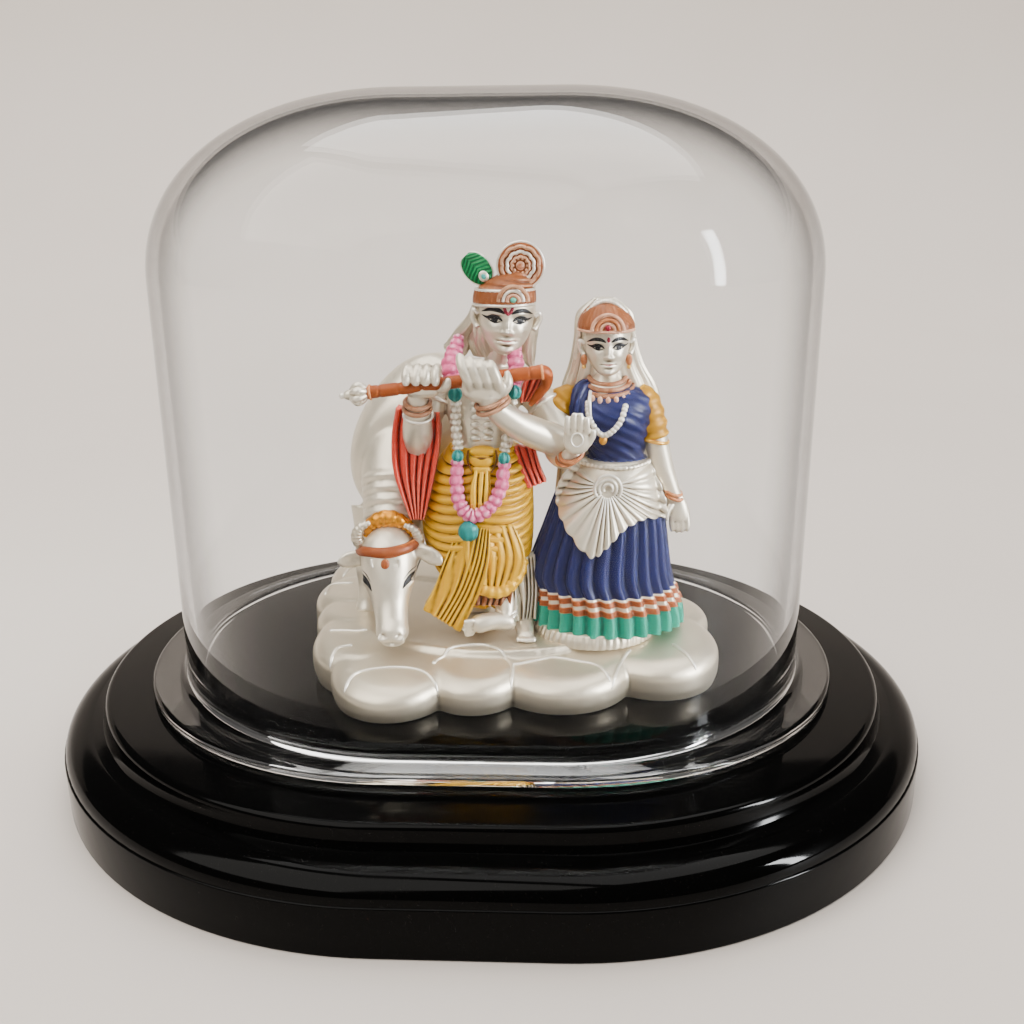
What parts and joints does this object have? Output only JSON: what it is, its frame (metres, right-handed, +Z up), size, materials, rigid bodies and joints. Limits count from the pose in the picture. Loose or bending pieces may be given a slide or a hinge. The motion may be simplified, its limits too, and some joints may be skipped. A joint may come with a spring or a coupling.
{
  "type": "radha krishna statue under a dome",
  "caption": "Small cast group of Krishna with flute, Radha and a cow on a cloud base, on a stepped oval plinth under a clear lift-off dome.",
  "frame": {"origin": "middle of the plinth's underside", "axes": "+Z up; the figures face -Y; +X is the viewer's right when the figures are seen from the front"},
  "size_m": [0.17, 0.142, 0.1268],
  "materials": {
    "plinth": "glossy black",
    "dome": "clear polished acrylic",
    "figure_group": "satin silver plating with painted clothes and faces"
  },
  "bodies": {
    "root": {"plinth": "plinth", "dome": "dome", "figure_group": "figure_group"}
  },
  "joints": []
}
